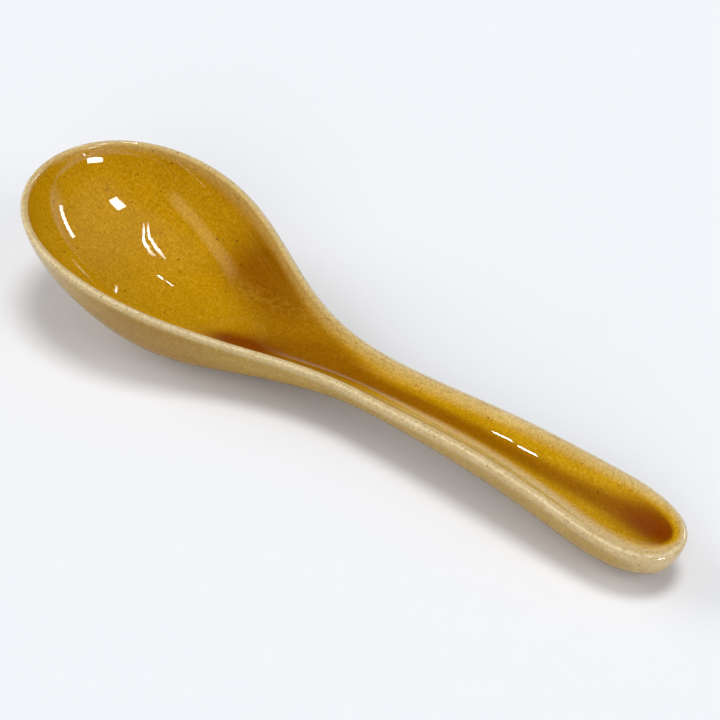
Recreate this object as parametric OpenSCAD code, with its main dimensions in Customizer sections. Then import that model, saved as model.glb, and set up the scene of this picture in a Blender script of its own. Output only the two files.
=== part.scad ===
// Long ceramic soup spoon: an oval bowl that runs into a channelled handle with a round end.
// Bowl and handle are one stoneware casting, glazed all over except where the spoon rests.
// The bowl's tip points along -X, the handle's end along +X. The foot and a small dry spot
// under the handle's end stand on z = 0.

/* [Outline] */
// Length from the bowl's tip to the handle's end
spoon_l = 165; // [150:1:185]
// Width of the bowl at its widest place
bowl_w = 47.6; // [42:0.2:53]
// Distance from the bowl's tip to its widest place
bowl_wide_x = 28.6; // [24:0.2:34]
// Distance from the bowl's tip to the neck, where the handle begins
neck_x = 92; // [84:0.5:99]
// Width of the neck
neck_w = 14; // [12:0.5:17]
// Width of the handle at its widest place
handle_w = 18.6; // [16:0.2:22]
// Length of the rounded end beyond the handle's widest place
end_l = 18.4; // [14:0.2:22]

/* [Rim] */
// Height of the lip at the bowl's tip
tip_rim_h = 27.2; // [22:0.2:32]
// Height of the lip a little past the bowl's widest place
side_rim_h = 21.8; // [18:0.2:26]
// Height of the lip at the back of the bowl
back_rim_h = 14; // [12.4:0.2:17]
// Height of the lip at the neck
neck_rim_h = 13; // [11.6:0.2:16]
// Height of the lip along the handle
handle_rim_h = 14; // [12:0.2:17]
// Height of the lip at the handle's end
end_rim_h = 10.2; // [9:0.2:12]

/* [Underside] */
// Height of the underside at the bowl's tip
tip_under_h = 5.2; // [4:0.1:7]
// Height of the underside ahead of the foot
fore_under_h = 5.2; // [4:0.1:6.5]
// Height of the underside at the back of the bowl
back_under_h = 3; // [2.2:0.1:4]
// Height of the underside at the neck
neck_under_h = 5; // [4:0.1:6]
// Height of the underside along the handle
handle_under_h = 3.2; // [2:0.1:4.5]
// Depth ground off the underside where the handle's end rests
rest_grind_t = 0.1; // [0.06:0.02:0.2]
// Height at which the glaze stops round that dry resting spot
rest_bare_h = 0.15; // [0.1:0.05:0.3]

/* [Walls] */
// Thickness of the bowl's lip, with its glaze
bowl_lip_t = 1.7; // [1.6:0.1:2.8]
// Thickness of the channel's lip, with its glaze
channel_lip_t = 2.3; // [2:0.1:3.4]
// Thickness of the bowl's floor, with its glaze
floor_t = 4.6; // [4:0.1:5.5]
// Thickness of the floor where it rises towards the bowl's tip, with its glaze
fore_floor_t = 3.3; // [3:0.1:4.6]
// Depth below the lip of the floor's line at the bowl's tip
tip_floor_d = 12.2; // [11:0.2:14]
// Depth of the bowl at its back, where it rises to the neck
back_bowl_d = 4.6; // [3.8:0.1:6]
// Depth of the channel at the neck
neck_channel_d = 2.5; // [1.8:0.1:3.6]
// Depth of the channel along the handle
handle_channel_d = 2; // [1.6:0.1:3.2]
// Depth of the channel near the handle's end
end_channel_d = 1.7; // [1.5:0.1:2.8]

/* [Foot] */
// Distance from the bowl's tip to the middle of the foot
foot_x = 47; // [46:0.2:48]
// Length of the foot
foot_l = 21; // [15:0.5:22]
// Width of the foot
foot_w = 14; // [9:0.5:15]
// Height of the foot, which is also the height of the bowl's flat underside
foot_h = 1.6; // [1.2:0.1:2]
// Slope of the foot's side, from its top edge to its bottom edge
foot_draft = 0.3; // [0.1:0.1:0.6]

/* [Glaze] */
// Thickness of the glaze on the outside
outer_glaze_t = 0.25; // [0.15:0.05:0.4]
// Thickness of the glaze on the inner walls
liner_glaze_t = 0.35; // [0.2:0.05:0.5]
// Thickness of the glaze on top of the lip, where it runs thin
lip_glaze_t = 0.12; // [0.08:0.02:0.2]
// Depth of the glaze on the bowl's floor
floor_glaze_t = 0.5; // [0.35:0.05:0.8]
// Depth of the glaze that gathers in the channel
channel_glaze_t = 0.9; // [0.4:0.05:1.3]
// Depth of the glaze that gathers at the handle's end
end_glaze_t = 1.2; // [0.5:0.05:1.5]

/* [Hidden] */

// Colours of the bare clay, the glazed clay, the amber inside and the thin glaze outside
clay_colour = [0.80, 0.70, 0.52];
dry_clay_colour = [0.62, 0.50, 0.36];
liner_colour = [0.75, 0.53, 0.08];
outer_colour = [0.74, 0.64, 0.42];

// Steps along each of the outline's four curves, rings from floor to rim, and steps over the lip
tip_steps = 11;
flank_steps = 15;
handle_steps = 11;
end_steps = 9;
ring_count = 11;
lip_steps = 8;
foot_facets = 64;

// Reach of the outline's curve handles, as shares of the lengths and widths they shape
tip_side_share = 0.54;
tip_front_share = 0.62;
flank_front_share = 0.36;
flank_back_share = 0.46;
grip_front_share = 0.35;
grip_back_share = 0.35;
end_front_share = 0.65;
end_side_share = 0.69;
// Widening of the handle at its widest place, as a share of the length along it
grip_flare_share = 0.07;

// The middle line that the bowl's and handle's floors close on
spine_start_share = 0.15;
spine_end_share = 0.95;

// Places along the spoon where the rim's and the underside's heights are given
rim_place_shares = [0, 0.2, 0.4, 0.55, 0.75, 1];
under_place_shares = [0, 0.12, 0.26, 0.42, 0.55, 0.75, 0.92, 1];
// Height of the underside at the handle's end, as a share of the lip's height there
end_under_share = 0.07;

// Squareness of the cross sections: 2 is an ellipse, and higher is squarer
bowl_squareness = 2.7;
handle_squareness = 2;
bowl_inner_squareness = 2.5;
channel_squareness = 2;
// Stretch over which the bowl's section turns into the handle's
blend_start_share = 0.35;
blend_end_share = 0.6;
// How near to upright the walls come at the rim, where 1 is fully upright, for the bowl and all
// outer walls, and for the channel, which is a gentle dish
upright_share = 0.985;
channel_upright_share = 0.6;
// Angle that the lip turns through, from the outer wall to the bowl's wall and to the channel's
bowl_lip_turn = 180;
channel_lip_turn = 120;
// Spacing of the rings, which lie closer together up the wall than on the floor
ring_spacing = 1.5;

half_bowl = bowl_w / 2;
half_neck = neck_w / 2;
half_handle = handle_w / 2;
handle_wide_x = spoon_l - end_l;
// The blocks that grind the underside flat are larger than the whole spoon
block_l = 2 * spoon_l;

rim_places = rim_place_shares * spoon_l;
rim_heights = [tip_rim_h, side_rim_h, back_rim_h, neck_rim_h, handle_rim_h, end_rim_h];
under_places = under_place_shares * spoon_l;
under_heights = [
    tip_under_h, fore_under_h, 0, back_under_h, neck_under_h, handle_under_h,
    -rest_grind_t - outer_glaze_t, end_under_share * end_rim_h
];

// Value between stations, on a smooth curve that passes through each of them
function station_slope(xs, ys, k) =
    k == 0 ? (ys[1] - ys[0]) / (xs[1] - xs[0])
    : k == len(xs) - 1 ? (ys[k] - ys[k - 1]) / (xs[k] - xs[k - 1])
    : let (
        before = xs[k] - xs[k - 1],
        after = xs[k + 1] - xs[k],
        rise_before = (ys[k] - ys[k - 1]) / before,
        rise_after = (ys[k + 1] - ys[k]) / after
    ) (before * rise_after + after * rise_before) / (before + after);
function station_index(xs, x, k = 0) =
    k >= len(xs) - 2 || x <= xs[k + 1] ? k : station_index(xs, x, k + 1);
function through(xs, ys, x) =
    let (
        k = station_index(xs, x),
        span = xs[k + 1] - xs[k],
        t = (x - xs[k]) / span,
        from_here = 2 * pow(t, 3) - 3 * pow(t, 2) + 1,
        slope_here = pow(t, 3) - 2 * pow(t, 2) + t,
        slope_next = pow(t, 3) - pow(t, 2)
    ) from_here * ys[k] + slope_here * span * station_slope(xs, ys, k)
      + (1 - from_here) * ys[k + 1] + slope_next * span * station_slope(xs, ys, k + 1);
function smooth_step(t) = let (c = max(0, min(1, t))) c * c * (3 - 2 * c);
function mix(a, b, t) = a + (b - a) * t;

// A point and a direction on a curve with four control points
function curve_point(c, t) =
    pow(1 - t, 3) * c[0] + 3 * pow(1 - t, 2) * t * c[1] + 3 * (1 - t) * t * t * c[2] + pow(t, 3) * c[3];
function curve_way(c, t) =
    pow(1 - t, 2) * (c[1] - c[0]) + 2 * (1 - t) * t * (c[2] - c[1]) + t * t * (c[3] - c[2]);

// The four curves of the half outline, from the tip round to the handle's end
flank_l = neck_x - bowl_wide_x;
grip_l = handle_wide_x - neck_x;
tip_curve = [
    [0, 0],
    [0, tip_side_share * half_bowl],
    [(1 - tip_front_share) * bowl_wide_x, half_bowl],
    [bowl_wide_x, half_bowl]
];
flank_curve = [
    [bowl_wide_x, half_bowl],
    [bowl_wide_x + flank_front_share * flank_l, half_bowl],
    [neck_x - flank_back_share * flank_l, half_neck],
    [neck_x, half_neck]
];
grip_curve = [
    [neck_x, half_neck],
    [neck_x + grip_front_share * grip_l, half_neck],
    [handle_wide_x - grip_back_share * grip_l, half_handle - grip_back_share * grip_flare_share * grip_l],
    [handle_wide_x, half_handle]
];
end_curve = [
    [handle_wide_x, half_handle],
    [handle_wide_x + end_front_share * end_l, half_handle + end_front_share * grip_flare_share * end_l],
    [spoon_l, end_side_share * half_handle],
    [spoon_l, 0]
];

// Stations round the half outline, each a place and the way straight in from it
function inward(way) = [way[1], -way[0]] / norm(way);
function stations_on(c, steps, last) =
    [for (k = [1:last]) [curve_point(c, k / steps), inward(curve_way(c, k / steps))]];
stations = concat(
    [[[0, 0], [1, 0]]],
    stations_on(tip_curve, tip_steps, tip_steps),
    stations_on(flank_curve, flank_steps, flank_steps),
    stations_on(grip_curve, handle_steps, handle_steps),
    stations_on(end_curve, end_steps, end_steps - 1),
    [[[spoon_l, 0], [-1, 0]]]
);
neck_index = tip_steps + flank_steps;
last_index = len(stations) - 1;

// The spine's place that belongs to a place on the outline, which meets it at the neck
function spine_at(x) =
    x < neck_x
    ? mix(spine_start_share * spoon_l, neck_x, x / neck_x)
    : mix(neck_x, spine_end_share * spoon_l, (x - neck_x) / (spoon_l - neck_x));

// How far a section has turned from the bowl's, 0, into the handle's, 1
function handle_blend(station) =
    smooth_step((station[0][0] / spoon_l - blend_start_share) / (blend_end_share - blend_start_share));

// Rise of a wall from 0 on the floor to 1 at the rim
function wall_rise(v, squareness, upright) =
    (1 - pow(1 - pow(upright * v, squareness), 1 / squareness))
    / (1 - pow(1 - pow(upright, squareness), 1 / squareness));
function ring_share(j) = 1 - pow(1 - j / ring_count, ring_spacing);

// Heights along the spoon: the rim, the underside, the floor's surface and the clay under it
function rim_at(x) = through(rim_places, rim_heights, x);
channel_depths = [back_bowl_d, neck_channel_d, handle_channel_d, end_channel_d, end_channel_d];
bowl_floor = [tip_rim_h - tip_floor_d, fore_under_h + fore_floor_t, floor_t];
floor_heights = concat(
    bowl_floor,
    [
        for (k = [0:len(channel_depths) - 1])
            rim_at(under_places[len(bowl_floor) + k]) - channel_depths[k]
    ]
);
floor_glaze = [
    floor_glaze_t, floor_glaze_t, floor_glaze_t, (floor_glaze_t + channel_glaze_t) / 2,
    channel_glaze_t, channel_glaze_t, end_glaze_t, channel_glaze_t
];
clay_under = [for (h = under_heights) h + outer_glaze_t];
clay_floor = floor_heights - floor_glaze;

// One wall's half section at a station, from the spine to a point of the lip, given as its inset
// and its height. The shape is [squareness, upright share].
function wall_section(station, top_place, heights, shape) =
    let (
        edge = station[0] + top_place[0] * station[1],
        spine_x = spine_at(station[0][0]),
        edge_base = through(under_places, heights, edge[0])
    )
    [for (j = [0:ring_count])
        let (v = ring_share(j), x = mix(spine_x, edge[0], v))
        [x, edge[1] * v,
         through(under_places, heights, x) + (top_place[1] - edge_base) * wall_rise(v, shape[0], shape[1])]];

// The arc over the lip, from the outer wall over the crest to the inner wall, as insets and heights.
// A lip is given as its depth under the glaze's face, on its outer side, its inner side and on top.
crest = lip_steps / 2;
function lip_t_at(station) = mix(bowl_lip_t, channel_lip_t, handle_blend(station));
function lip_place(station, lip, a) =
    let (lip_t = lip_t_at(station), lip_r = lip_t / 2)
    [mix(lip[0], lip_t - lip[1], (1 - cos(a)) / 2),
     rim_at(station[0][0]) - lip_r + (lip_r - lip[2]) * sin(a)];
function lip_turn(station) = mix(bowl_lip_turn, channel_lip_turn, handle_blend(station));
function lip_section(station, lip) =
    [for (k = [0:lip_steps])
        let (
            a = k <= crest ? 90 * k / crest : mix(90, lip_turn(station), k / crest - 1),
            place = lip_place(station, lip, a),
            p = station[0] + place[0] * station[1]
        )
        [p[0], p[1], place[1]]];
clay_lip = [outer_glaze_t, liner_glaze_t, lip_glaze_t];
glaze_lip = [0, 0, 0];

function outer_wall(station, lip, heights) =
    wall_section(station, lip_place(station, lip, 0), heights,
        [mix(bowl_squareness, handle_squareness, handle_blend(station)), upright_share]);
function inner_wall(station, lip, heights) =
    wall_section(station, lip_place(station, lip, lip_turn(station)), heights, [
        mix(bowl_inner_squareness, channel_squareness, handle_blend(station)),
        mix(upright_share, channel_upright_share, handle_blend(station))
    ]);
function outer_clay(station) = outer_wall(station, clay_lip, clay_under);
function inner_clay(station) = inner_wall(station, clay_lip, clay_floor);

function part_of(list, from, to) = [for (k = [from:to]) list[k]];
function backwards(list) = [for (k = [len(list) - 1:-1:0]) list[k]];

function clay_section(station) =
    concat(
        outer_clay(station),
        part_of(lip_section(station, clay_lip), 1, lip_steps - 1),
        backwards(inner_clay(station))
    );
function liner_section(station) =
    concat(
        inner_clay(station),
        backwards(part_of(lip_section(station, clay_lip), crest, lip_steps - 1)),
        part_of(lip_section(station, glaze_lip), crest, lip_steps - 1),
        backwards(inner_wall(station, glaze_lip, floor_heights))
    );
function outer_section(station) =
    concat(
        outer_wall(station, glaze_lip, under_heights),
        part_of(lip_section(station, glaze_lip), 1, crest),
        backwards(part_of(lip_section(station, clay_lip), 1, crest)),
        backwards(outer_clay(station))
    );

// A closed solid through half sections and their mirror images. Each section starts and ends
// on the middle plane. A section that lies in that plane closes the solid by itself.
module lofted(sections, cap_first = false, cap_last = false) {
    count = len(sections);
    size = len(sections[0]);
    near = count * size;
    function on_plane(i, s) =
        s == 0 || s == size - 1 || (i == 0 && !cap_first) || (i == count - 1 && !cap_last);
    function left(i, s) = i * size + s;
    function right(i, s) = on_plane(i, s) ? left(i, s) : near + left(i, s);
    points = concat(
        [for (section = sections, p = section) p],
        [for (section = sections, p = section) [p[0], -p[1], p[2]]]
    );
    // The cut across each patch starts from the corner nearest to the middle plane
    function cut_forward(i, s) = (i < count / 2) == (s < size / 2 - 1);
    function patch(a, b, c, d, forward) = forward ? [[a, c, b], [a, d, c]] : [[a, d, b], [b, d, c]];
    left_faces = [
        for (i = [0:count - 2], s = [0:size - 2])
            each patch(left(i, s), left(i, s + 1), left(i + 1, s + 1), left(i + 1, s), cut_forward(i, s))
    ];
    function right_patch(i, s) =
        patch(right(i, s), right(i, s + 1), right(i + 1, s + 1), right(i + 1, s), cut_forward(i, s));
    right_faces = [
        for (i = [0:count - 2], s = [0:size - 2], f = right_patch(i, s))
            backwards(f)
    ];
    function loop_at(i) = concat(
        [for (s = [0:size - 1]) left(i, s)],
        [for (s = [size - 2:-1:1]) right(i, s)]
    );
    polyhedron(
        points,
        concat(
            left_faces,
            right_faces,
            cap_first ? [loop_at(0)] : [],
            cap_last ? [backwards(loop_at(count - 1))] : []
        ),
        convexity = 6
    );
}

// What is ground away below one height under the bowl and another under the handle
module ground_away(bowl_height, handle_height) {
    translate([neck_x - block_l / 2, 0, bowl_height - block_l / 2])
        cube(block_l, center = true);
    translate([neck_x + block_l / 2, 0, handle_height - block_l / 2])
        cube(block_l, center = true);
}

// The bowl's clay shell up to the neck, ground flat where the foot joins it
module bowl_body() {
    color(clay_colour)
    translate([-foot_x, 0, 0])
    difference() {
        lofted([for (k = [0:neck_index]) clay_section(stations[k])], cap_last = true);
        ground_away(foot_h, 0);
    }
}

// The handle's clay from the neck to the round end, with its channel on top and its resting spot
module handle_body() {
    color(clay_colour)
    translate([-foot_x, 0, 0])
    difference() {
        lofted([for (k = [neck_index:last_index]) clay_section(stations[k])], cap_first = true);
        ground_away(foot_h, 0);
    }
}

// The dry foot: a low block with round ends and sides that lean in towards the bottom
module foot() {
    half_w = foot_w / 2;
    end_place = foot_l / 2 - half_w;
    color(dry_clay_colour) {
        for (side = [-1, 1])
            translate([side * end_place, 0, 0])
            cylinder(h = foot_h, r1 = half_w - foot_draft, r2 = half_w, $fn = foot_facets);
        rotate([90, 0, 90])
            linear_extrude(height = 2 * end_place, center = true)
            polygon([
                [-(half_w - foot_draft), 0],
                [half_w - foot_draft, 0],
                [half_w, foot_h],
                [-half_w, foot_h]
            ]);
    }
}

// The amber glaze inside, from the top of the lip down, deeper where it gathered
module liner_glaze() {
    color(liner_colour)
    translate([-foot_x, 0, 0])
    lofted([for (station = stations) liner_section(station)]);
}

// The thin glaze outside, from the top of the lip down to the dry places that the spoon rests on
module outer_glaze() {
    color(outer_colour)
    translate([-foot_x, 0, 0])
    difference() {
        lofted([for (station = stations) outer_section(station)]);
        ground_away(foot_h, rest_bare_h);
    }
}

bowl_body();
handle_body();
foot();
liner_glaze();
outer_glaze();
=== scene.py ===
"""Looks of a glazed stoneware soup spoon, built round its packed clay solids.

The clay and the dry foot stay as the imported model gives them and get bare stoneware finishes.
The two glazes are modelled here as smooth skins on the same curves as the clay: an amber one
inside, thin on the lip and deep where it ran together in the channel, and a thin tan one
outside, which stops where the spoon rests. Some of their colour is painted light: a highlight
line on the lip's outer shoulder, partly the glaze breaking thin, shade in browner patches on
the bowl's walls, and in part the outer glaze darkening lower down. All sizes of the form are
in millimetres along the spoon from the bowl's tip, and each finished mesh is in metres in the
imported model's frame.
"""

import logging
import math
from dataclasses import dataclass
from enum import Enum
from functools import reduce
from operator import mul

import bmesh
import bpy
import numpy as np
from mathutils import Matrix, Vector


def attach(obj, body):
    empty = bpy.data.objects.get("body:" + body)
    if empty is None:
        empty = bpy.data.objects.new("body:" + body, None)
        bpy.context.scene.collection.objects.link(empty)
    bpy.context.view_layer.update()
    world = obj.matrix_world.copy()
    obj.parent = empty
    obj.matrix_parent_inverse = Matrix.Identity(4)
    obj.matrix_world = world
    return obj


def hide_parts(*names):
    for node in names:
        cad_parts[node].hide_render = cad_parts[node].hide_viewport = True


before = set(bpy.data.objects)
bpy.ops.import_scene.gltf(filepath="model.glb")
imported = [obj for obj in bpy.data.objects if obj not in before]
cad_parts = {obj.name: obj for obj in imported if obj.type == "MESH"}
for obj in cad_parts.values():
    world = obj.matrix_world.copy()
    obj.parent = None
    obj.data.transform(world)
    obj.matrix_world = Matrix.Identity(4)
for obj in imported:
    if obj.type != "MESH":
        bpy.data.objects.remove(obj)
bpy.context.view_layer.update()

LOG = logging.getLogger("spoon")
MM = 0.001
SAME_PLACE = 1e-7
QUARTER_TURN = math.pi / 2

Pair = tuple[float, float]
Triple = tuple[float, float, float]
Colour = Triple
Array = np.ndarray
Socket = bpy.types.NodeSocket


def from_screen(red: int, green: int, blue: int) -> Colour:
    """Turn a screen colour, 0 to 255, into the linear colour that shaders take.

    Args:
        red: Red.
        green: Green.
        blue: Blue.

    Returns:
        The linear colour.
    """

    def one(value: int) -> float:
        """Return one channel's linear value."""
        share = value / 255
        return share / 12.92 if share <= 0.04045 else ((share + 0.055) / 1.055) ** 2.4

    return one(red), one(green), one(blue)


# Curves and soft shapes


def smooth_step(value: Array) -> Array:
    """Return a value eased from 0 to 1, with level ends."""
    held = np.clip(value, 0.0, 1.0)
    return held * held * (3.0 - 2.0 * held)


def mix(first: Array, second: Array, share: Array) -> Array:
    """Return the value that lies the given share of the way from first to second."""
    return first + (second - first) * share


def hump(value: Array, middle: float | Array, width: float | Array) -> Array:
    """Return a soft hump that is 1 at its middle."""
    return np.exp(-(((value - middle) / width) ** 2))


@dataclass(frozen=True)
class Rise:
    """A strength that eases up from 0 at its start and is full a span further on."""

    start: float
    span: float
    strength: float = 1.0

    def at(self, value: Array) -> Array:
        """Return the strength at each value."""
        return self.strength * smooth_step((value - self.start) / self.span)


@dataclass(frozen=True)
class Stretch:
    """A stretch of the spoon, in millimetres from its tip, that eases in and out at its ends."""

    start: float
    ease_in: float
    end: float
    ease_out: float
    strength: float = 1.0

    def at(self, x: Array) -> Array:
        """Return the strength at each place."""
        rise, fall = (x - self.start) / self.ease_in, (self.end - x) / self.ease_out
        return self.strength * smooth_step(rise) * smooth_step(fall)


@dataclass(frozen=True)
class Patch:
    """A soft oval patch, placed from the spoon's tip and its middle line, in millimetres."""

    x: float
    y: float
    length: float
    width: float
    strength: float

    def at(self, x: Array, y: Array) -> Array:
        """Return the patch's strength at each place."""
        return self.strength * hump(x, self.x, self.length) * hump(y, self.y, self.width)


@dataclass(frozen=True)
class StationLine:
    """A smooth line through values that are given at places along the spoon."""

    places: tuple[float, ...]
    values: tuple[float, ...]

    def at(self, x: Array) -> Array:
        """Return the line's value at each place.

        Args:
            x: Places along the spoon, in millimetres from the tip.

        Returns:
            The values there.
        """
        xs, ys = np.array(self.places), np.array(self.values)
        spans = np.diff(xs)
        rises = np.diff(ys) / spans
        slopes = np.concatenate(
            (
                rises[:1],
                (spans[:-1] * rises[1:] + spans[1:] * rises[:-1]) / (spans[:-1] + spans[1:]),
                rises[-1:],
            )
        )
        k = np.clip(np.searchsorted(xs, x) - 1, 0, len(xs) - 2)
        t = (x - xs[k]) / spans[k]
        from_here = 2 * t**3 - 3 * t**2 + 1
        return (
            from_here * ys[k]
            + (t**3 - 2 * t**2 + t) * spans[k] * slopes[k]
            + (1 - from_here) * ys[k + 1]
            + (t**3 - t**2) * spans[k] * slopes[k + 1]
        )


@dataclass(frozen=True)
class LipArc:
    """A layer of the lip: how deep it lies under the glaze's face, in millimetres."""

    outside: float = 0.0
    inside: float = 0.0
    on_top: float = 0.0


GLAZE_FACE = LipArc()


@dataclass(frozen=True)
class Section:
    """How a wall curves across the spoon, first in the bowl and then in the handle.

    A squareness of 2 is an ellipse. Upright says how near to upright the wall is at its top.
    """

    squareness: Pair
    upright: Pair


# The form of the spoon


@dataclass(frozen=True)
class SpoonForm:
    """The sizes of the whole spoon, in millimetres, and the curves that they give."""

    length: float = 165.0
    bowl_width: float = 47.6
    widest_at: float = 28.6
    neck_at: float = 92.0
    neck_width: float = 14.0
    handle_width: float = 18.6
    end_length: float = 18.4
    foot_at: float = 47.0
    foot_height: float = 1.6
    rest_bare_height: float = 0.15
    bowl_lip: float = 1.7
    channel_lip: float = 2.3
    bowl_floor: tuple[float, ...] = (15.0, 8.5, 4.6)
    outer_glaze: float = 0.25
    liner_glaze: float = 0.35
    lip_glaze: float = 0.12
    curve_steps: tuple[int, int, int, int] = (64, 84, 60, 44)
    rim: StationLine = StationLine(
        (0, 33, 66, 90.75, 123.75, 165), (27.2, 21.8, 14, 13, 14, 10.2)
    )
    under_places: tuple[float, ...] = (0, 19.8, 42.9, 69.3, 90.75, 123.75, 151.8, 165)
    under_heights: tuple[float, ...] = (5.2, 5.2, 0, 3, 5, 3.2, -0.35, 0.714)
    channel_depths: tuple[float, ...] = (4.6, 2.5, 2.0, 1.7, 1.7)
    floor_glazes: tuple[float, ...] = (0.5, 0.5, 0.5, 0.7, 0.9, 0.9, 1.2, 0.9)
    tip_pulls: Pair = (0.54, 0.38)
    flank_pulls: Pair = (0.36, 0.46)
    handle_pull: float = 0.35
    handle_flare: float = 0.07
    end_pull: float = 0.65
    end_width_share: float = 0.69
    blend: Rise = Rise(0.35, 0.25)
    spine: Pair = (0.15, 0.95)
    lip_turns: Pair = (180.0, 120.0)
    inner: Section = Section((2.5, 2.0), (0.985, 0.6))
    outer: Section = Section((2.7, 2.0), (0.985, 0.985))

    @property
    def under(self) -> StationLine:
        """The underside's height along the spoon."""
        return StationLine(self.under_places, self.under_heights)

    @property
    def floor(self) -> StationLine:
        """The height of the glazed floor along the spoon."""
        rim = self.rim.at(np.array(self.under_places[len(self.bowl_floor) :]))
        channel = tuple(float(top - depth) for top, depth in zip(rim, self.channel_depths))
        return StationLine(self.under_places, self.bowl_floor + channel)

    @property
    def clay_under(self) -> StationLine:
        """The clay's underside, under the outer glaze."""
        heights = tuple(height + self.outer_glaze for height in self.under_heights)
        return StationLine(self.under_places, heights)

    @property
    def clay_floor(self) -> StationLine:
        """The clay's floor, under the inside glaze."""
        heights = zip(self.floor.values, self.floor_glazes)
        return StationLine(self.under_places, tuple(top - glaze for top, glaze in heights))

    @property
    def clay_lip(self) -> LipArc:
        """The clay's layer of the lip."""
        return LipArc(self.outer_glaze, self.liner_glaze, self.lip_glaze)

    def lip_thickness(self, x: Array) -> Array:
        """Return the lip's thickness at each place, with its glaze."""
        return mix(self.bowl_lip, self.channel_lip, self.handle_blend(x))

    def outline(self) -> tuple[Array, Array]:
        """Work out the stations round half of the outline, from the tip to the handle's end.

        Returns:
            Each station's place, and the level direction that points straight in from it.
        """
        bowl, neck, handle = self.bowl_width / 2, self.neck_width / 2, self.handle_width / 2
        widest, narrow, length = self.widest_at, self.neck_at, self.length
        wide = length - self.end_length
        sideways, forwards = self.tip_pulls[0] * bowl, self.tip_pulls[1] * widest
        front, back = (pull * (narrow - widest) for pull in self.flank_pulls)
        grip, end = self.handle_pull * (wide - narrow), self.end_pull * self.end_length
        near, beyond = handle - self.handle_flare * grip, handle + self.handle_flare * end
        round_end = self.end_width_share * handle
        curves = (
            ((0, 0), (0, sideways), (forwards, bowl), (widest, bowl)),
            ((widest, bowl), (widest + front, bowl), (narrow - back, neck), (narrow, neck)),
            ((narrow, neck), (narrow + grip, neck), (wide - grip, near), (wide, handle)),
            ((wide, handle), (wide + end, beyond), (length, round_end), (length, 0)),
        )
        places, ways = [], []
        for number, (curve, steps) in enumerate(zip(curves, self.curve_steps)):
            a, b, c, d = (np.array(point, float) for point in curve)
            for k in range(1 if number else 0, steps + 1):
                t = k / steps
                u = 1 - t
                places.append(u**3 * a + 3 * u**2 * t * b + 3 * u * t**2 * c + t**3 * d)
                way = u**2 * (b - a) + 2 * u * t * (c - b) + t**2 * (d - c)
                ways.append(np.array((way[1], -way[0])) / np.linalg.norm(way))
        return np.array(places), np.array(ways)

    def handle_blend(self, x: Array) -> Array:
        """Return how far a section at x has turned from the bowl's, 0, into the handle's, 1."""
        return self.blend.at(x / self.length)

    def spine_at(self, x: Array) -> Array:
        """Return the places on the middle line that belong to places on the outline."""
        start, end = (share * self.length for share in self.spine)
        return np.interp(x, (0, self.neck_at, self.length), (start, self.neck_at, end))

    def lip_point(self, places: Array, ways: Array, lip: LipArc, angle: Array) -> Array:
        """Return points of the lip's arc at each station.

        Args:
            places: The stations' places.
            ways: The stations' inward directions.
            lip: The layer.
            angle: The angle on the arc at each station, 0 at its outer side.

        Returns:
            An array of points.
        """
        thick = self.lip_thickness(places[:, 0])
        inset = mix(lip.outside, thick - lip.inside, (1 - np.cos(angle)) / 2)
        level = places + inset[:, None] * ways
        arc = (thick / 2 - lip.on_top) * np.sin(angle)
        return np.column_stack((level, self.rim.at(places[:, 0]) - thick / 2 + arc))

    def lip_turn(self, x: Array) -> Array:
        """Return the angle that the lip turns through before the inner wall starts."""
        return np.radians(mix(*self.lip_turns, self.handle_blend(x)))

    def wall(self, section: Section, top: Array, middle: StationLine, shares: Array) -> Array:
        """Work out a wall from the middle line up to points of the lip.

        Args:
            section: How the wall curves.
            top: The point of the lip that it ends on at each station.
            middle: The heights along the middle line.
            shares: The rows, as shares of the way from the middle line to the top.

        Returns:
            Points in rows and stations.
        """
        stations = self.outline()[0][:, 0]
        blend = self.handle_blend(stations)
        square, upright = mix(*section.squareness, blend), mix(*section.upright, blend)
        v = shares[:, None]
        x = mix(self.spine_at(stations), top[:, 0], v)
        rise = (1 - (1 - (upright * v) ** square) ** (1 / square)) / (
            1 - (1 - upright**square) ** (1 / square)
        )
        z = middle.at(x) + (top[:, 2] - middle.at(top[:, 0])) * rise
        return np.stack((x, top[:, 1] * v, z), axis=-1)


# Shader building


class Value:
    """A number socket that Python arithmetic can be written with."""

    def __init__(self, bench: "NodeBench", socket: Socket) -> None:
        """Wrap a socket of the given bench."""
        self.bench = bench
        self.socket = socket

    def _math(self, operation: str, first: object, second: object = None) -> "Value":
        """Add one Math node and return its result."""
        given = [first] if second is None else [first, second]
        return self.bench.value("ShaderNodeMath", {"operation": operation}, dict(enumerate(given)))

    def __add__(self, other: object) -> "Value":
        """Return the sum."""
        return self._math("ADD", self, other)

    def __sub__(self, other: object) -> "Value":
        """Return the difference."""
        return self._math("SUBTRACT", self, other)

    def __rsub__(self, other: object) -> "Value":
        """Return the difference from the other one."""
        return self._math("SUBTRACT", other, self)

    def __mul__(self, other: object) -> "Value":
        """Return the product."""
        return self._math("MULTIPLY", self, other)

    __radd__ = __add__
    __rmul__ = __mul__

    def eased(self, low: float, high: float) -> "Value":
        """Return 0 below low and 1 above high, eased between them."""
        return self.bench.value(
            "ShaderNodeMapRange",
            {"interpolation_type": "SMOOTHSTEP", "clamp": True},
            {0: self, 1: low, 2: high, 3: 0.0, 4: 1.0},
        )


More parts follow.
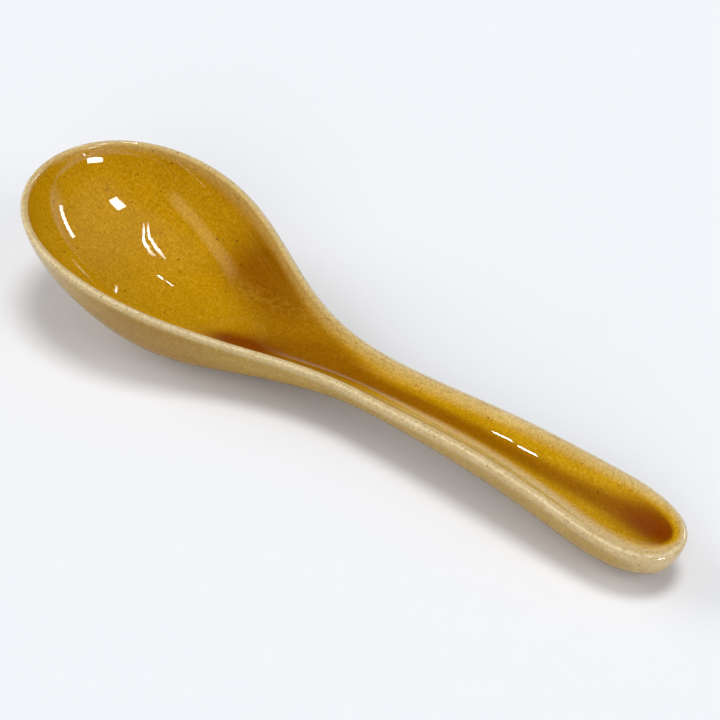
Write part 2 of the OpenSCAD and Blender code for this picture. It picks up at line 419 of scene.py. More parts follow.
class NodeBench:
    """The node tree of one material or world and the one method that adds nodes to it."""

    def __init__(self, owner: bpy.types.Material | bpy.types.World) -> None:
        """Start an empty node tree.

        Args:
            owner: The new material or world that the tree belongs to.
        """
        self.owner = owner
        owner.use_nodes = True
        self.tree = owner.node_tree
        self.tree.nodes.clear()
        self.places = self.node("ShaderNodeTexCoord").outputs["Object"]

    def node(
        self, kind: str, settings: dict | None = None, inputs: dict | None = None
    ) -> bpy.types.Node:
        """Add a node, set it up and connect it.

        Args:
            kind: The node's type.
            settings: Its settings, which are set first.
            inputs: The values or links of its sockets, by name or number.

        Returns:
            The node.
        """
        made = self.tree.nodes.new(kind)
        for key, given in (settings or {}).items():
            setattr(made, key, given)
        for key, given in (inputs or {}).items():
            socket = made.inputs[key]
            if isinstance(given, Value):
                given = given.socket
            if isinstance(given, Socket):
                self.tree.links.new(given, socket)
            elif isinstance(given, tuple) and len(given) == 3 and socket.type == "RGBA":
                socket.default_value = (*given, 1.0)
            else:
                socket.default_value = given
        return made

    def value(
        self, kind: str, settings: dict | None = None, inputs: dict | None = None, out: object = 0
    ) -> Value:
        """Add a node and return one of its outputs as a value."""
        return Value(self, self.node(kind, settings, inputs).outputs[out])

    def attribute(self, name: str) -> Value:
        """Return a number that the mesh's points hold."""
        return self.value("ShaderNodeAttribute", {"attribute_name": name}, out="Fac")

    def mixed(self, share: object, first: object, second: object, blend: str = "MIX") -> Socket:
        """Return the first colour with a share of the second one blended into it."""
        settings = {"data_type": "RGBA", "blend_type": blend}
        made = self.node("ShaderNodeMix", settings, {"Factor": share, 6: first, 7: second})
        return made.outputs[2]

    def noise(self, lumps: "Lumps") -> Value:
        """Return a soft noise, 0 in its middle and at most 0.5 either way."""
        given = {"Scale": 1 / (lumps.cell * MM), "Detail": lumps.detail, "Roughness": lumps.rough}
        return self.value("ShaderNodeTexNoise", None, {"Vector": self.places, **given}) - 0.5

    def toned(self, colour: object, red: Value, green: Value, blue: Value) -> Socket:
        """Return a colour whose channels are multiplied by three values."""
        tone = self.node("ShaderNodeCombineColor", None, {0: red, 1: green, 2: blue})
        return self.mixed(1.0, colour, tone.outputs[0], "MULTIPLY")

    def speckled(self, colour: object, kinds: tuple["Specks", ...]) -> Socket:
        """Return a colour with small round specks of each kind on it.

        Args:
            colour: The colour between the specks.
            kinds: The kinds of specks, the later ones over the earlier ones.

        Returns:
            The speckled colour.
        """
        for kind in kinds:
            cells = self.node(
                "ShaderNodeTexVoronoi",
                {"feature": "F1"},
                {"Vector": self.places, "Scale": 1 / (kind.cell * MM)},
            )
            parts = self.node("ShaderNodeSeparateColor", None, {0: cells.outputs["Color"]})
            bare = 1 - kind.share
            chosen = Value(self, parts.outputs[0]).eased(bare, bare + kind.choice_edge)
            size = Value(self, parts.outputs[1])
            reach = size * (kind.radius * (1 - kind.smallest)) + kind.radius * kind.smallest
            away = Value(self, cells.outputs["Distance"]) - reach
            mask = chosen * (1 - away.eased(-kind.soft, kind.soft))
            colour = self.mixed(mask * kind.strength, colour, kind.colour)
        return colour

    def bump(self, height: Value, strength: float = 1.0) -> Socket:
        """Return the surface's direction with a height in millimetres laid on it."""
        given = {"Strength": strength, "Distance": MM, "Height": height}
        return self.node("ShaderNodeBump", None, given).outputs[0]

    def finish(self, inputs: dict) -> bpy.types.Material:
        """Add the shader and the output.

        Args:
            inputs: The shader's values and links, by socket name.

        Returns:
            The material.
        """
        shader = self.node("ShaderNodeBsdfPrincipled", None, inputs)
        self.node("ShaderNodeOutputMaterial", None, {"Surface": shader.outputs[0]})
        return self.owner


# Finishes


@dataclass(frozen=True)
class Specks:
    """One kind of small round specks.

    The cells are in millimetres, and each holds one speck or none. The share says how many do.
    The largest speck's radius and its soft edge are shares of a cell, and the smallest speck is
    a share of the largest.
    """

    colour: Colour
    cell: float
    share: float
    radius: float
    soft: float
    strength: float
    smallest: float = 0.45
    choice_edge: float = 0.02


@dataclass(frozen=True)
class Lumps:
    """A soft noise: its lumps' size in millimetres, its detail and its roughness."""

    cell: float
    detail: float
    rough: float


@dataclass(frozen=True)
class Wrinkles:
    """A net of thin raised lines, drawn out along the spoon. Its two scales are per metre."""

    warp_scale: float = 420.0
    warp_reach: float = 1.2 * MM
    turn: float = 0.13
    stretch: Triple = (0.3, 1.0, 0.6)
    scale: float = 640.0
    line_edge: Pair = (0.02, 0.13)

    def lines(self, bench: NodeBench) -> Value:
        """Add the net's nodes.

        Args:
            bench: The glaze's node tree.

        Returns:
            The net, 1 on a line.
        """
        given = {"Vector": bench.places, "Scale": self.warp_scale, "Detail": 1.0}
        warp = bench.node("ShaderNodeTexNoise", None, given)
        shift = bench.node(
            "ShaderNodeVectorMath",
            {"operation": "MULTIPLY_ADD"},
            {0: warp.outputs["Color"], 1: (self.warp_reach,) * 3, 2: bench.places},
        )
        placing = {"Rotation": (0, 0, self.turn), "Scale": self.stretch}
        drawn = bench.node("ShaderNodeMapping", None, {"Vector": shift.outputs[0], **placing})
        edges = bench.value(
            "ShaderNodeTexVoronoi",
            {"feature": "DISTANCE_TO_EDGE"},
            {"Vector": drawn.outputs[0], "Scale": self.scale},
        )
        return 1 - edges.eased(*self.line_edge)


@dataclass(frozen=True)
class GlazeLayer:
    """A colour that the glaze takes where one of the skin's own fields is high."""

    field: str
    colour: Colour
    unevenness: float
    start: float
    full: float
    share: float = 1.0


@dataclass(frozen=True)
class GlazeFinish:
    """A glossy speckled glaze over stoneware, whose colour follows how deep it lies.

    Drift and shade weigh the cloud, the grain and the fine noise. The heights, in millimetres,
    are those of the swell, the peel and the wrinkles. The pale layer is a painted highlight,
    partly the glaze breaking thin, and the browning on the bowl's walls and the darkening low
    on the outer side are partly painted shade.
    """

    name: str
    lip: Colour = from_screen(212, 186, 134)
    thin: Colour = from_screen(212, 178, 104)
    layers: tuple[GlazeLayer, ...] = (
        GlazeLayer("tan", thin, 0.6, 0.0, 0.9),
        GlazeLayer("depth", from_screen(202, 150, 5), 0.9, -0.1, 1.0),
        # Partly painted shade: browner patches in the bowl, with real pooling in the channel.
        GlazeLayer("pooled_and_shade", from_screen(152, 94, 0), 1.2, 0.08, 0.95),
        GlazeLayer("deep", from_screen(124, 46, 0), 3.0, 0.1, 1.2),
        # Painted highlight: a pale line on the lip's shoulder, partly glaze breaking thin.
        GlazeLayer("pale", from_screen(228, 208, 166), 1.0, 0.1, 1.0, 0.75),
        GlazeLayer("outside", from_screen(174, 138, 38), 1.0, 0.0, 0.9),
        # Outside: darker towards the bottom, partly painted shade; inside: a line by the seam.
        GlazeLayer("low", from_screen(158, 116, 0), 1.0, 0.05, 1.0),
    )
    wrinkles: Wrinkles = Wrinkles()
    wrinkle: Colour = from_screen(196, 150, 40)
    wrinkle_strength: float = 0.3
    specks: tuple[Specks, ...] = (
        Specks(from_screen(108, 54, 4), 0.9, 0.95, 0.3, 0.08, 0.22),
        Specks(from_screen(108, 54, 4), 2.2, 0.75, 0.115, 0.03, 0.75),
        Specks(from_screen(72, 36, 8), 4.6, 0.5, 0.058, 0.012, 0.9),
    )
    cloud: Lumps = Lumps(7.0, 3.0, 0.55)
    grain: Lumps = Lumps(0.7, 3.0, 0.6)
    fine: Lumps = Lumps(0.32, 2.0, 0.6)
    swell: Lumps = Lumps(5.0, 1.0, 0.4)
    peel: Lumps = Lumps(1.1, 1.0, 0.5)
    drift: Pair = (0.28, 0.22)
    shade: Triple = (0.3, 0.8, 0.8)
    browning: Triple = (0.8, 1.0, 1.7)
    fleck_edge: Pair = (0.0, 0.22)
    fleck_strength: float = 0.13
    pooled_and_shade_fleck_loss: float = 0.1
    heights: Triple = (0.008, 0.003, 0.08)
    gloss: float = 0.025
    gloss_change: float = 0.02
    refraction: float = 1.52

    def build(self) -> bpy.types.Material:
        """Make the material.

        Returns:
            The material, which reads the skin's own point values.
        """
        bench = NodeBench(bpy.data.materials.new(self.name))
        cloud, grain, fine = map(bench.noise, (self.cloud, self.grain, self.fine))
        drift = cloud * self.drift[0] + grain * self.drift[1]
        colour, amounts = self.lip, {}
        for layer in self.layers:
            given = bench.attribute(layer.field) * (drift * layer.unevenness + layer.share)
            amounts[layer.field] = given.eased(layer.start, layer.full)
            colour = bench.mixed(amounts[layer.field], colour, layer.colour)
        net = self.wrinkles.lines(bench) * bench.attribute("ripple")
        colour = bench.mixed(net * self.wrinkle_strength, colour, self.wrinkle)
        shade = cloud * self.shade[0] + grain * self.shade[1] + fine * self.shade[2]
        colour = bench.toned(colour, *(shade * share + 1 for share in self.browning))
        flecks = self.fleck_strength - amounts["pooled_and_shade"] * self.pooled_and_shade_fleck_loss
        colour = bench.mixed(grain.eased(*self.fleck_edge) * flecks, colour, self.thin)
        colour = bench.speckled(colour, self.specks)
        swell, peel = map(bench.noise, (self.swell, self.peel))
        height = swell * self.heights[0] + peel * self.heights[1] + net * self.heights[2]
        rough = grain * self.gloss_change + self.gloss
        look = {"Base Color": colour, "Roughness": rough, "Normal": bench.bump(height)}
        return bench.finish({**look, "IOR": self.refraction})


@dataclass(frozen=True)
class ClayFinish:
    """Bare speckled stoneware, dry to the touch, with paler and browner clouds."""

    name: str
    body: Colour
    scorched: Colour
    specks: tuple[Specks, ...] = (
        Specks(from_screen(92, 60, 34), 0.8, 0.4, 0.22, 0.06, 0.45),
        Specks(from_screen(92, 60, 34), 2.4, 0.2, 0.14, 0.03, 0.7),
    )
    cloud: Lumps = Lumps(4.0, 3.0, 0.6)
    grain: Lumps = Lumps(0.35, 3.0, 0.7)
    scorch_edge: Pair = (-0.2, 0.25)
    grain_shade: float = 0.35
    grain_height: float = 0.03
    cloud_height: float = 0.05
    bump: float = 0.8
    roughness: float = 0.82
    roughness_change: float = 0.2
    refraction: float = 1.5

    def build(self) -> bpy.types.Material:
        """Make the material.

        Returns:
            The material.
        """
        bench = NodeBench(bpy.data.materials.new(self.name))
        cloud, grain = map(bench.noise, (self.cloud, self.grain))
        colour = bench.mixed(cloud.eased(*self.scorch_edge), self.body, self.scorched)
        shade = grain * self.grain_shade + 1
        colour = bench.speckled(bench.toned(colour, shade, shade, shade), self.specks)
        height = grain * self.grain_height + cloud * self.cloud_height
        rough = grain * self.roughness_change + self.roughness
        bumped = bench.bump(height, self.bump)
        look = {"Base Color": colour, "Roughness": rough, "Normal": bumped}
        return bench.finish({**look, "IOR": self.refraction})


# The glaze skins


class Side(Enum):
    """Which of the two glazes a skin is."""

    INSIDE = "inside"
    OUTSIDE = "outside"


FIELDS = ("tan", "depth", "pooled_and_shade", "deep", "pale", "outside", "low", "ripple")


@dataclass(frozen=True)
class GlazeMap:
    """Where the glaze runs thin, deepens, pools, browns and wrinkles, in millimetres.

    The near half of the spoon is the one on the -Y side. A run is a length along the surface,
    inwards from the lip's crest, and a drop is a share of the outer side's height. The pale line
    is a painted highlight, partly the glaze breaking thin, and some of the browning and darkening
    is painted shade.
    """

    far_side: Rise = Rise(-2, 4)
    end: Rise = Rise(150, 12)
    tan_run: Rise = Rise(-0.3, 1.7)
    end_tan_lead: float = 0.4
    near_start: float = 0.2
    far_start: float = 0.3
    handle_start: Rise = Rise(84, 24)
    end_start_lead: float = 0.7
    near_fade: StationLine = StationLine(
        (0, 40, 80, 92, 110, 152, 165), (2.0, 2.6, 3.6, 3.8, 5.0, 4.4, 1.6)
    )
    far_fade: StationLine = StationLine(
        (0, 14, 26, 40, 60, 80, 92, 125, 150, 165),
        (2.8, 3.4, 5.0, 7.0, 6.4, 4.4, 3.8, 4.0, 3.4, 1.3),
    )
    # The lip's painted highlight line: its place, as a share of the lip, and its width.
    painted_highlight_at: float = -0.3
    painted_highlight_width: float = 0.4
    seam_side: Rise = Rise(0, 12, 0.85)
    seam_line_at: float = 0.22
    seam_line_width: float = 0.3
    pool_start: float = 0.8
    near_pool_fade: float = 2.5
    far_pool_share: float = 0.8
    channel: StationLine = StationLine(
        (0, 58, 68, 78, 92, 110, 130, 145, 153, 160, 165),
        (0, 0, 0.2, 0.6, 0.92, 0.92, 0.86, 0.9, 0.95, 0.9, 0.6),
    )
    channel_width: StationLine = StationLine(
        (0, 60, 80, 92, 125, 145, 157, 165), (5, 5, 3.6, 2.6, 2.7, 3.3, 5.0, 5.0)
    )
    channel_middle: StationLine = StationLine(
        (0, 60, 92, 140, 155, 165), (-2.5, -2.2, 0, 0.4, 1.8, 2.0)
    )
    # Partly painted shade: browner towards the neck and in patches on the bowl's walls.
    brown_and_shade_back: Stretch = Stretch(32, 30, 92, 20, 0.25)
    brown_and_shade_patches: tuple[Patch, ...] = (
        Patch(46, 15.0, 13, 6, 0.75),
        Patch(60, 8.5, 13, 6, 0.45),
        Patch(60, -3.0, 14, 5, 0.5),
        Patch(78, 2.5, 12, 5, 0.4),
        Patch(20, -16, 16, 5, 0.25),
    )
    pools: tuple[Patch, ...] = (Patch(158, 2.0, 9.5, 5.0, 0.95), Patch(58.5, -4.4, 11, 3.2, 1.35))
    wrinkled: Stretch = Stretch(40, 5, 86, 6)
    wrinkle_path: StationLine = StationLine((42, 63, 84), (11.0, 8.6, 5.4))
    wrinkle_width: float = 1.7
    outer_start: Rise = Rise(-0.6, 3.0)
    outer_end: Rise = Rise(150, 14, 0.7)
    # Darker low on the outer side, partly a painted reflection of the shadowed floor.
    low_drop: Rise = Rise(0.5, 0.22, 0.9)
    belly_drop: Rise = Rise(0.02, 0.14)
    belly_at: float = 45.0
    belly_length: float = 18.0

    def outside(self, x: Array, drop: Array, from_seam: Array) -> dict[str, Array]:
        """Work out the outer glaze's fields.

        Args:
            x: The points' places along the spoon.
            drop: How far down from the lip each point lies.
            from_seam: Each point's length along the surface from the seam.

        Returns:
            The fields that aren't 0 all over.
        """
        # Lower down it darkens, partly a painted reflection of the shadowed floor.
        belly = hump(x, self.belly_at, self.belly_length) * self.belly_drop.at(drop)
        return {
            "outside": self.outer_start.at(from_seam) * (1 - self.outer_end.at(x)),
            "low": np.maximum(self.low_drop.at(drop), belly),
        }

    def inside(
        self, x: Array, y: Array, from_seam: Array, run: Array, thick: Array
    ) -> dict[str, Array]:
        """Work out the inside glaze's fields.

        Args:
            x: The points' places along the spoon.
            y: Their places across it.
            from_seam: Each point's length along the surface from the seam.
            run: Each point's run.
            thick: The lip's thickness at each station.

        Returns:
            The fields that aren't 0 all over.
        """
        far, end = self.far_side.at(y), self.end.at(x)
        near_fade, far_fade = self.near_fade.at(x), self.far_fade.at(x)
        start = mix(self.near_start + self.handle_start.at(x), self.far_start, far)
        depth = (run - start + self.end_start_lead * end) / mix(near_fade, far_fade, far)
        pool_fade = mix(self.near_pool_fade, self.far_pool_share * far_fade, far)
        within = smooth_step((run - self.pool_start) / pool_fade)
        channel = self.channel.at(x) * hump(y, self.channel_middle.at(x), self.channel_width.at(x))
        # Partly painted shade: the bowl's back and its wall patches.
        brown_and_shade = self.brown_and_shade_back.at(x) + sum(patch.at(x, y) for patch in self.brown_and_shade_patches)
        return {
            "tan": self.tan_run.at(run + self.end_tan_lead * end),
            "depth": smooth_step(depth),
            # Painted highlight along the lip's shoulder, partly the glaze breaking thin there.
            "pale": hump(run, self.painted_highlight_at * thick, self.painted_highlight_width),
            # Real pooling in the channel plus painted shade in the bowl.
            "pooled_and_shade": np.clip(channel + brown_and_shade, 0, 1) * within,
            "deep": sum(pool.at(x, y) for pool in self.pools) * within,
            "low": self.seam_side.at(y) * hump(from_seam, self.seam_line_at, self.seam_line_width),
            "ripple": self.wrinkled.at(x) * hump(y, self.wrinkle_path.at(x), self.wrinkle_width),
        }


@dataclass(frozen=True)
class GlazeSkins:
    """The two glaze skins of the spoon, from the seam on the lip's outer shoulder."""

    form: SpoonForm = SpoonForm()
    glaze_map: GlazeMap = GlazeMap()
    seam_angle: float = math.radians(24)
    seam_gap: float = math.radians(0.4)
    wall_rows: int = 62
    lip_rows: int = 26
    back_rows: int = 12
    spacing: float = 1.5

    def _shares(self, rows: int) -> Array:
        """Return row shares from the middle line to the rim, closer together near the rim."""
        return 1 - (1 - np.linspace(0, 1, rows + 1)) ** self.spacing

    def _lip_rows(self, lip: LipArc, start: Array, end: Array, rows: int) -> Array:
        """Work out rows of points on the lip.

        Args:
            lip: The layer of the lip.
            start: The first row's angle on the lip's arc at each station.
            end: The last row's angle.
            rows: How many steps there are between them.

        Returns:
            Points in rows and stations.
        """
        places, ways = self.form.outline()
        angles = (mix(start, end, share) for share in np.linspace(0, 1, rows + 1))
        return np.stack([self.form.lip_point(places, ways, lip, angle) for angle in angles])

    def section_rows(self, side: Side) -> tuple[Array, int]:
        """Work out one skin's rows over half of the spoon, glazed face first.

        Args:
            side: Which skin.

        Returns:
            The points in rows and stations, and how many of the rows are the glazed face.
        """
        form = self.form
        places, ways = form.outline()
        seam = np.full(len(places), self.seam_angle)
        if side is Side.INSIDE:
            section, start, gap = form.inner, form.lip_turn(places[:, 0]), self.seam_gap
            middle, clay_middle = form.floor, form.clay_floor
            steps, back_steps = self.lip_rows, self.lip_rows // 2
        else:
            section, start, gap = form.outer, np.zeros(len(places)), -self.seam_gap
            middle, clay_middle = form.under, form.clay_under
            steps = back_steps = self.lip_rows // 4
        face = self._lip_rows(GLAZE_FACE, start, seam + gap, steps)
        back = self._lip_rows(form.clay_lip, seam, start, back_steps)
        wall = form.wall(section, face[0], middle, self._shares(self.wall_rows))
        clay = form.wall(section, back[-1], clay_middle, self._shares(self.back_rows)[::-1])
        seam_row = form.lip_point(places, ways, GLAZE_FACE, seam)[None]
        glazed = np.concatenate((wall, face[1:], seam_row))
        return np.concatenate((glazed, back, clay[1:])), len(glazed)

    def fields(self, rows: Array, glazed: int, side: Side, mirrored: bool) -> dict[str, Array]:
        """Work out what the glaze's colour follows at every point.

        Args:
            rows: The points in rows and stations.
            glazed: How many of the rows are the glazed face.
            side: Which skin.
            mirrored: Whether this is the half on the -Y side.

        Returns:
            The values of each field, in rows and stations.
        """
        form = self.form
        steps = np.linalg.norm(np.diff(rows[:glazed], axis=0), axis=-1)
        total = steps.sum(axis=0)
        travelled = np.concatenate((np.zeros((1, rows.shape[1])), np.cumsum(steps, axis=0)))
        from_seam = total[None] - travelled
        x = rows[:glazed, :, 0]
        if side is Side.OUTSIDE:
            rim = form.rim.at(x)
            drop = (rim - rows[:glazed, :, 2]) / (rim - form.under.at(x))
            found = self.glaze_map.outside(x, drop, from_seam)
        else:
            y = rows[:glazed, :, 1] * (-1 if mirrored else 1)
            thick = form.lip_thickness(form.outline()[0][:, 0])
            run = from_seam - thick / 2 * (QUARTER_TURN - self.seam_angle)
            found = self.glaze_map.inside(x, y, from_seam, run, thick)
        result = {}
        for name in FIELDS:
            full = np.zeros(rows.shape[:2])
            full[:glazed] = found.get(name, 0.0)
            full[glazed:] = full[glazed - 1]
            result[name] = full
        return result

    def build(self, side: Side, name: str) -> bpy.types.Object:
        """Build one skin as a closed thin shell.

        Args:
            side: Which skin.
            name: The piece's name.

        Returns:
            The finished object, whose place is in its mesh.
        """
        rows, glazed = self.section_rows(side)
        right = self.fields(rows, glazed, side, False)
        left = self.fields(rows, glazed, side, True)
        row_count, station_count = rows.shape[:2]
        around = 2 * (station_count - 1)
        mesh = bmesh.new()
        bmesh.ops.create_grid(mesh, x_segments=around, y_segments=row_count - 1, size=0.5)
        layers = {key: mesh.verts.layers.float.new(key) for key in FIELDS}
        for vertex in mesh.verts:
            column = round((vertex.co.x + 0.5) * around)
            row = round((vertex.co.y + 0.5) * (row_count - 1))
            mirrored = column > station_count - 1
            station = around - column if mirrored else column
            x, y, z = rows[row, station]
            vertex.co = Vector((x - self.form.foot_at, -y if mirrored else y, z)) * MM
            source = left if mirrored else right
            for key, layer in layers.items():
                vertex[layer] = float(source[key][row, station])
        bmesh.ops.remove_doubles(mesh, verts=mesh.verts, dist=SAME_PLACE)
        bmesh.ops.recalc_face_normals(mesh, faces=mesh.faces)
        if side is Side.OUTSIDE:
            self._grind(mesh)
        for face in mesh.faces:
            face.smooth = True
        return as_object(mesh, name)

    def _grind(self, mesh: bmesh.types.BMesh) -> None:
        """Cut the outer skin level where the spoon rests, and close the cut edges.

        Args:
            mesh: The outer skin's mesh, in metres.
        """
        neck = (self.form.neck_at - self.form.foot_at) * MM
        cuts = (
            (self.form.foot_height * MM, lambda x: x < neck),
            (self.form.rest_bare_height * MM, lambda x: x >= neck),
        )
        for height, belongs in cuts:
            faces = [f for f in mesh.faces if belongs(f.calc_center_median().x)]
            edges = {e for f in faces for e in f.edges}
            verts = {v for f in faces for v in f.verts}
            cut = bmesh.ops.bisect_plane(
                mesh,
                geom=[*faces, *edges, *verts],
                dist=SAME_PLACE,
                plane_co=(0, 0, height),
                plane_no=(0, 0, 1),
                clear_inner=True,
            )
            open_edges = [
                item
                for item in cut["geom_cut"]
                if isinstance(item, bmesh.types.BMEdge) and item.is_boundary
            ]
            bmesh.ops.bridge_loops(mesh, edges=open_edges)
            for edge in open_edges:
                edge.smooth = False


def linked(name: str, data: bpy.types.ID, where: Matrix | None = None) -> bpy.types.Object:
    """Put an object into the scene.

    Args:
        name: The object's name.
        data: Its mesh, lamp or camera.
        where: Its matrix, if it isn't at the origin.

    Returns:
        The object.
    """
    made = bpy.data.objects.new(name, data)
    if where is not None:
        made.matrix_world = where
    bpy.context.scene.collection.objects.link(made)
    return made


def as_object(mesh: bmesh.types.BMesh, name: str) -> bpy.types.Object:
    """Turn a finished mesh into an object at the origin.

    Args:
        mesh: The mesh, which is used up.
        name: The piece's name.

    Returns:
        The object.
    """
    data = bpy.data.meshes.new(name)
    mesh.to_mesh(data)
    mesh.free()
    return linked(name, data)


def dress(piece: bpy.types.Object, material: bpy.types.Material) -> None:
    """Give a piece one material on all its slots.

    Args:
        piece: The piece, which may have no slot yet.
        material: The material.
    """
    if not piece.material_slots:
        piece.data.materials.append(material)
    for slot in piece.material_slots:
        slot.material = material


@dataclass(frozen=True)
class Spoon:
    """The whole spoon: the packed clay and foot with their finishes, and the two glaze skins."""

    skins: GlazeSkins = GlazeSkins()
    glaze: GlazeFinish = GlazeFinish("speckled_glaze")
    clay: ClayFinish = ClayFinish(
        "bare_stoneware", from_screen(196, 170, 128), from_screen(172, 138, 96)
    )
    dry_foot: ClayFinish = ClayFinish(
        "dry_foot_stoneware", from_screen(178, 144, 104), from_screen(146, 104, 68)
    )

    def build(self) -> list[bpy.types.Object]:
        """Returns:
            All five pieces.
        """
        pieces = [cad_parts[name] for name in ("bowl_body", "handle_body", "foot")]
        clay, dry = self.clay.build(), self.dry_foot.build()
        for piece, material in zip(pieces, (clay, clay, dry)):
            dress(piece, material)
        glaze = self.glaze.build()
        for side, name, node, slot in (
            (Side.INSIDE, "inside_glaze", "liner_glaze", "amber_glaze"),
            (Side.OUTSIDE, "outside_glaze", "outer_glaze", "cream_glaze"),
        ):
            piece = self.skins.build(side, name)
            dress(piece, glaze)
            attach(piece, "root")
            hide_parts(node)
            pieces.append(piece)
        return pieces


# The studio


@dataclass(frozen=True)
class View:
    """The photograph's viewpoint, found from the spoon's own outline."""

    azimuth: float = math.radians(39.78)
    elevation: float = math.radians(40.34)
    roll: float = math.radians(-0.75)
    distance: float = 0.45725
    target: Triple = (0.0355, 0.0, 0.00825)
    shift_right: float = 0.00369
    shift_up: float = 0.00325
    lens: float = 110.95
    sensor: float = 36.0
    clip: Pair = (0.01, 20.0)

    def axes(self) -> tuple[Vector, Vector, Vector]:
        """Work out how the camera is turned.

        Returns:
            Its right, up and backward directions.
        """
        a, e = self.azimuth, self.elevation
        back = Vector((math.sin(a) * math.cos(e), -math.cos(a) * math.cos(e), math.sin(e)))
        right = Vector((math.cos(a), math.sin(a), 0.0))
        up = back.cross(right)
        turned = right * math.cos(self.roll) + up * math.sin(self.roll)
        return turned, back.cross(turned), back

    def place(self) -> Vector:
        """Work out where the camera is.

        Returns:
            Its place.
        """
        right, up, back = self.axes()
        moved = Vector(self.target) + back * self.distance
        return moved + right * self.shift_right + up * self.shift_up

    def build(self) -> None:
        """Make the camera and hand it to the scene."""
        right, up, back = self.axes()
        data = bpy.data.cameras.new("view")
        data.lens, data.sensor_width = self.lens, self.sensor
        data.clip_start, data.clip_end = self.clip
        turn = Matrix((right, up, back)).transposed()
        where = Matrix.Translation(self.place()) @ turn.to_4x4()
        bpy.context.scene.camera = linked("view", data, where)


def aimed(place: Vector, way: Vector, long_side: Vector | None = None) -> Matrix:
    """Return the placing of a lamp that shines back along the way it lies in.

    Args:
        place: The lamp's place.
        way: The direction from the spoon to the lamp.
        long_side: The direction that the lamp's long side follows, if it has one.

    Returns:
        The lamp's matrix.
    """
    back = way.normalized()
    if long_side is None:
        long_side = Vector((0.0, 0.0, 1.0)).cross(back)
    side = (long_side - long_side.dot(back) * back).normalized()
    turn = Matrix((side, back.cross(side), back)).transposed()
    return Matrix.Translation(place) @ turn.to_4x4()


@dataclass(frozen=True)
class FarLamp:
    """A large far lamp that lights the whole floor evenly and isn't mirrored in the gloss."""

    name: str
    way: Triple
    angle: float
    strength: float

    def build(self) -> None:
        """Make the lamp."""
        data = bpy.data.lights.new(self.name, "SUN")
        data.angle = math.radians(self.angle)
        data.energy = self.strength
        lamp = linked(self.name, data, aimed(Vector(self.way), Vector(self.way)))
        lamp.visible_glossy = False


@dataclass(frozen=True)
class GlintLamp:
    """A lamp that only the gloss shows, as a line, a spot or a patch.

    Its start and end are the directions in which the spoon sees its two ends from the place
    that mirrors it, which is in millimetres. Its breadth is a share of its distance, which is
    in metres, its spread is in degrees, and a radiance of 1 is white.
    """

    name: str
    start: Triple
    end: Triple
    breadth: float
    mirrored_at: Triple
    radiance: float = 45.0
    distance: float = 0.6
    spread: float = 16.0

    def build(self) -> None:
        """Make the lamp."""
        start, end = Vector(self.start).normalized(), Vector(self.end).normalized()
        middle = (start + end).normalized()
        place = Vector(self.mirrored_at) * MM + middle * self.distance
        long_side = max((end - start).length, self.breadth) * self.distance
        short_side = self.breadth * self.distance
        half = math.radians(self.spread / 2)
        data = bpy.data.lights.new(self.name, "AREA")
        data.shape, data.size, data.size_y = "RECTANGLE", long_side, short_side
        data.spread = 2 * half
        through = math.pi * (1 - half / math.tan(half))
        data.energy = self.radiance * through * long_side * short_side
        lamp = linked(self.name, data, aimed(place, middle, end - start))
        lamp.visible_diffuse = False


@dataclass(frozen=True)
class SkyLight:
    """A bright area of the sky that only the gloss shows.

    Each of its soft edges is a direction, and how far along it the area begins and is full.
    """

    colour: Colour
    edges: tuple[tuple[Triple, float, float], ...]


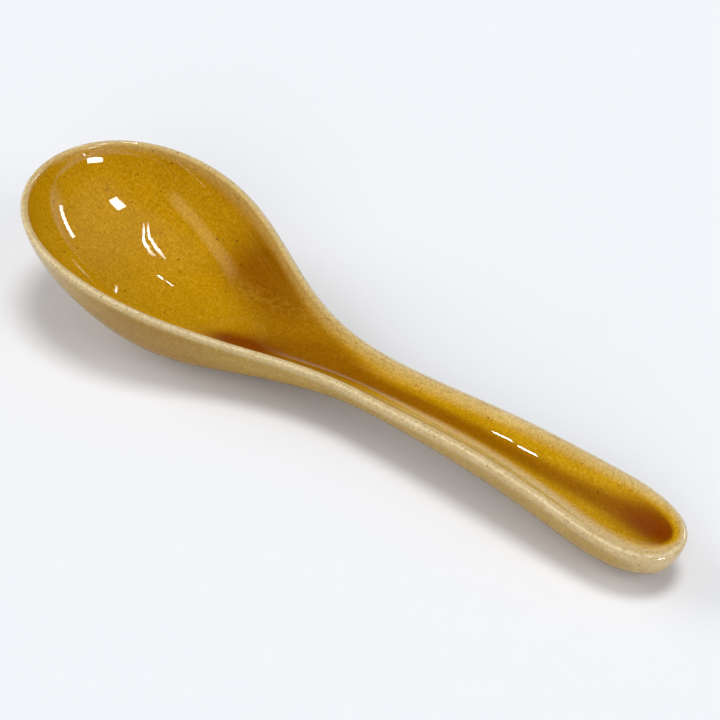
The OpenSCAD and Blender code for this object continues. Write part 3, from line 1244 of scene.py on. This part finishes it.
@dataclass(frozen=True)
class Studio:
    """A pale floor, soft daylight from all round and the lamps."""

    floor_colour: Colour = from_screen(246, 247, 250)
    floor_roughness: float = 0.9
    floor_half: float = 4.0
    daylight: Colour = (0.19, 0.2, 0.215)
    gloom: Colour = (0.02, 0.0196, 0.0194)
    low_band: SkyLight = SkyLight(
        (0.95, 0.931, 0.9215), (((0, 0, -1), -0.5, -0.28), ((0, 1, 0), 0.6, 0.8))
    )
    ceiling: SkyLight = SkyLight(
        (0.28, 0.2744, 0.2716),
        (((1, 0, 0), -0.4, 0.1), ((0, 1, 0), -0.45, -0.1), ((0, 0, 1), 0.3, 0.7)),
    )
    blind: SkyLight = SkyLight(
        (1.8, 1.548, 0.846),
        (
            ((-0.687, -0.592, -0.422), -0.05, 0.06),
            ((0.687, 0.592, 0.422), -0.36, -0.16),
            ((1, 0, 0), -0.66, -0.4),
            ((-1, 0, 0), -0.2, -0.02),
            ((0, 0, 1), 0.4, 0.6),
        ),
    )
    lamps: tuple[FarLamp | GlintLamp, ...] = (
        FarLamp("window", (0.08, 0.22, 1.9), 22.0, 1.25),
        FarLamp("fill", (0.45, -0.8, 0.5), 45.0, 0.85),
        FarLamp("side", (-0.9, -0.25, 0.42), 45.0, 1.25),
        FarLamp("right", (0.9, 0.1, 0.55), 30.0, 0.6),
        GlintLamp(
            "low_window", (0.58, 0.76, 0.33), (0.2, 0.84, 0.5), 0.07, (-39.5, -4.6, 16.8),
            radiance=22.0, spread=70.0,
        ),
        GlintLamp(
            "tube_a", (0.16, -0.07, 0.99), (-0.12, 0.29, 0.95), 0.014, (-26.4, 7.6, 9.8),
            distance=0.2, spread=32.0,
        ),
        GlintLamp(
            "tube_b", (0.14, -0.12, 0.98), (-0.14, 0.26, 0.96), 0.014, (-25.5, 8.3, 9.7),
            distance=0.2, spread=32.0,
        ),
        GlintLamp(
            "tube_c", (-0.25, 0.47, 0.84), (-0.27, 0.49, 0.83), 0.005, (-16.9, 2.0, 6.2),
            radiance=40.0, spread=8.0,
        ),
        GlintLamp(
            "tube_d", (-0.28, 0.48, 0.83), (-0.31, 0.49, 0.81), 0.006, (-15.0, 2.5, 5.9),
            radiance=50.0, spread=8.0,
        ),
        GlintLamp(
            "panel", (0.61, -0.06, 0.79), (0.45, -0.06, 0.89), 0.15, (-36.1, 8.2, 15.0),
            radiance=30.0, spread=32.0,
        ),
        GlintLamp(
            "far_tube_a", (-0.44, 0.31, 0.84), (-0.37, 0.31, 0.88), 0.046, (74.9, 2.2, 12.2),
            radiance=60.0, distance=0.25, spread=7.5,
        ),
        GlintLamp(
            "far_tube_b", (-0.37, 0.37, 0.85), (-0.31, 0.37, 0.88), 0.046, (80.9, 2.0, 12.0),
            radiance=60.0, distance=0.25, spread=7.5,
        ),
        GlintLamp(
            "end_glint", (0.71, -0.38, 0.6), (0.79, -0.3, 0.54), 0.05, (115.5, -5.4, 10.0),
            radiance=60.0, spread=6.0,
        ),
        GlintLamp(
            "low_panel", (0.99, -0.05, 0.03), (0.94, -0.34, 0.1), 0.12, (-42.2, 9.0, 24.0),
            spread=30.0,
        ),
        GlintLamp(
            "skylight", (-0.25, 0.79, 0.56), (-0.29, 0.85, 0.45), 0.006, (-19.5, -8.0, 7.6),
            radiance=16.0,
        ),
    )

    def build(self) -> None:
        """Make the floor, the daylight and the lamps."""
        mesh = bmesh.new()
        bmesh.ops.create_grid(mesh, x_segments=1, y_segments=1, size=self.floor_half)
        floor = as_object(mesh, "floor")
        bench = NodeBench(bpy.data.materials.new("pale_floor"))
        look = {"Base Color": self.floor_colour, "Roughness": self.floor_roughness}
        dress(floor, bench.finish({**look, "Specular IOR Level": 0.0}))
        self._light_the_world()
        for lamp in self.lamps:
            lamp.build()

    def _light_the_world(self) -> None:
        """Give even daylight, in whose place the gloss shows the sky's bright areas."""
        bench = NodeBench(bpy.data.worlds.new("daylight"))
        way = bench.node("ShaderNodeTexCoord").outputs["Generated"]
        mirrored = self.gloom
        for area in (self.low_band, self.ceiling, self.blind):
            insides = (
                bench.value(
                    "ShaderNodeVectorMath", {"operation": "DOT_PRODUCT"}, {0: way, 1: edge}, "Value"
                ).eased(begins, full)
                for edge, begins, full in area.edges
            )
            mirrored = bench.mixed(reduce(mul, insides), mirrored, area.colour, "ADD")
        glossy = bench.value("ShaderNodeLightPath", out="Is Glossy Ray")
        light = bench.mixed(glossy, self.daylight, mirrored)
        background = bench.node("ShaderNodeBackground", None, {"Color": light})
        bench.node("ShaderNodeOutputWorld", None, {"Surface": background.outputs[0]})
        bpy.context.scene.world = bench.owner


def main() -> None:
    """Build the spoon and the studio round it."""
    logging.basicConfig(level=logging.INFO, format="%(name)s: %(message)s")
    bpy.context.scene.view_settings.view_transform = "Standard"
    View().build()
    Studio().build()
    for piece in Spoon().build():
        LOG.info("%s is dressed and has %d faces", piece.name, len(piece.data.polygons))


if __name__ == "__main__":
    main()
